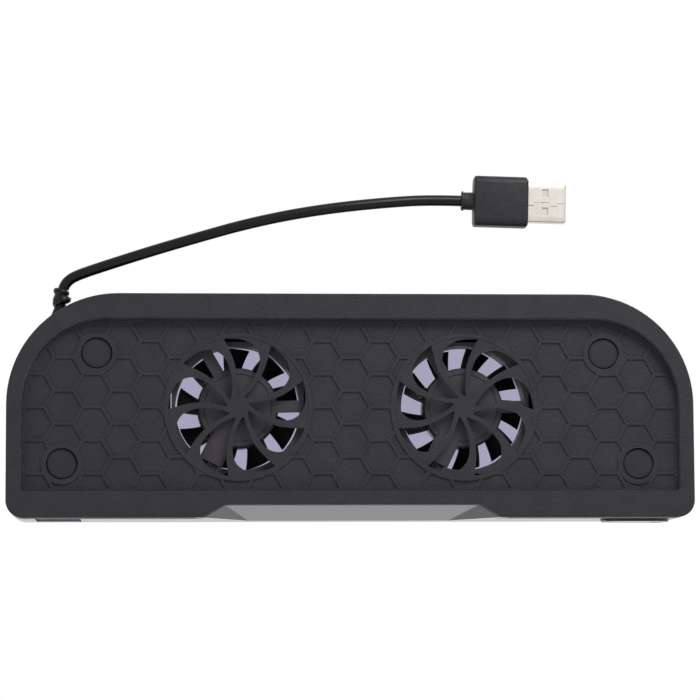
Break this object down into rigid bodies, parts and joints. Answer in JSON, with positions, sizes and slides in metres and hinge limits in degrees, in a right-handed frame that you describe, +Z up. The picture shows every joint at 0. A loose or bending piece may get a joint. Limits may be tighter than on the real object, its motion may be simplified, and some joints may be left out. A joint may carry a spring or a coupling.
{
  "type": "cooling dock",
  "caption": "Low console cooling dock with fans behind swirl grilles, a push button, stacked USB sockets and a short USB lead.",
  "frame": {"origin": "on the surface the dock stands on, under the middle of the case", "axes": "+Z up, +X along the case, -Y is the front with the sockets and the button"},
  "size_m": [0.2074, 0.1049, 0.031],
  "materials": {
    "case_plastic": "black moulded ABS, fine satin texture",
    "gloss_plastic": "polished black ABS",
    "fan_plastic": "black glass-filled PBT",
    "rotor_plastic": "black PBT, fan blades",
    "plug_rubber": "dark grey rubber",
    "cable_pvc": "black flexible PVC",
    "label_foil": "bare dark label",
    "zinc_steel": "zinc-plated steel",
    "tin_steel": "tin-plated steel sheet",
    "bronze": "sintered bronze",
    "magnet": "bonded ferrite",
    "laminations": "silicon steel laminations",
    "copper_wire": "enamelled copper",
    "board": "green glass-epoxy board",
    "chip_black": "black epoxy",
    "ferrite": "ferrite inductor",
    "can": "aluminium can",
    "socket_white": "natural nylon",
    "usb_insulator": "black nylon",
    "gold": "gold-plated contacts",
    "lens": "milky acrylic",
    "led_white": "light-emitting diode",
    "wire_pvc": "insulated wires"
  },
  "bodies": {
    "dock": {"base_cover": "case_plastic", "board_screws": "zinc_steel", "cable_gland": "cable_pvc", "capacitor": "can", "case_screws": "zinc_steel", "chin_insert": "gloss_plastic", "controller_chip": "chip_black", "fan_screws": "zinc_steel", "front_left_screw_plug": "plug_rubber", "front_right_screw_plug": "plug_rubber", "inductor": "ferrite", "lead_tail": "cable_pvc", "lead_wires": "wire_pvc", "left_fan_bearing": "bronze", "left_fan_driver_board": "board", "left_fan_frame": "fan_plastic", "left_fan_label": "label_foil", "left_fan_wires": "wire_pvc", "left_stator_coils": "copper_wire", "left_stator_core": "laminations", "main_board": "board", "plug_body": "cable_pvc", "plug_contacts": "gold", "plug_insulator": "usb_insulator", "plug_shell": "tin_steel", "push_switch": "chip_black", "rear_left_screw_plug": "plug_rubber", "rear_right_screw_plug": "plug_rubber", "right_fan_bearing": "bronze", "right_fan_driver_board": "board", "right_fan_frame": "fan_plastic", "right_fan_label": "label_foil", "right_fan_wires": "wire_pvc", "right_stator_coils": "copper_wire", "right_stator_core": "laminations", "rubber_strips": "plug_rubber", "status_light": "led_white", "switch_board": "board", "switch_wires": "wire_pvc", "top_housing": "gloss_plastic", "usb_contacts": "gold", "usb_insulator": "usb_insulator", "usb_lead": "cable_pvc", "usb_shell": "tin_steel", "wire_sockets": "socket_white"},
    "left_rotor": {"left_fan_rotor": "rotor_plastic", "left_rotor_magnet": "magnet", "left_rotor_shaft": "zinc_steel"},
    "right_rotor": {"right_fan_rotor": "rotor_plastic", "right_rotor_magnet": "magnet", "right_rotor_shaft": "zinc_steel"},
    "button": {"power_button": "gloss_plastic", "button_lens": "lens", "switch_plunger": "chip_black"}
  },
  "joints": [
    {"name": "left_fan_spin", "type": "hinge", "parent": "dock", "child": "left_rotor", "pos_m": [-0.0342, 0.0001, 0.012], "axis": [0, 0, 1], "continuous": true},
    {"name": "right_fan_spin", "type": "hinge", "parent": "dock", "child": "right_rotor", "pos_m": [0.0342, 0.0001, 0.012], "axis": [0, 0, 1], "continuous": true},
    {"name": "button_press", "type": "slide", "parent": "dock", "child": "button", "axis": [0, 1, 0], "range_m": [0, 0.0008], "stiffness_N_per_m": 2000}
  ]
}
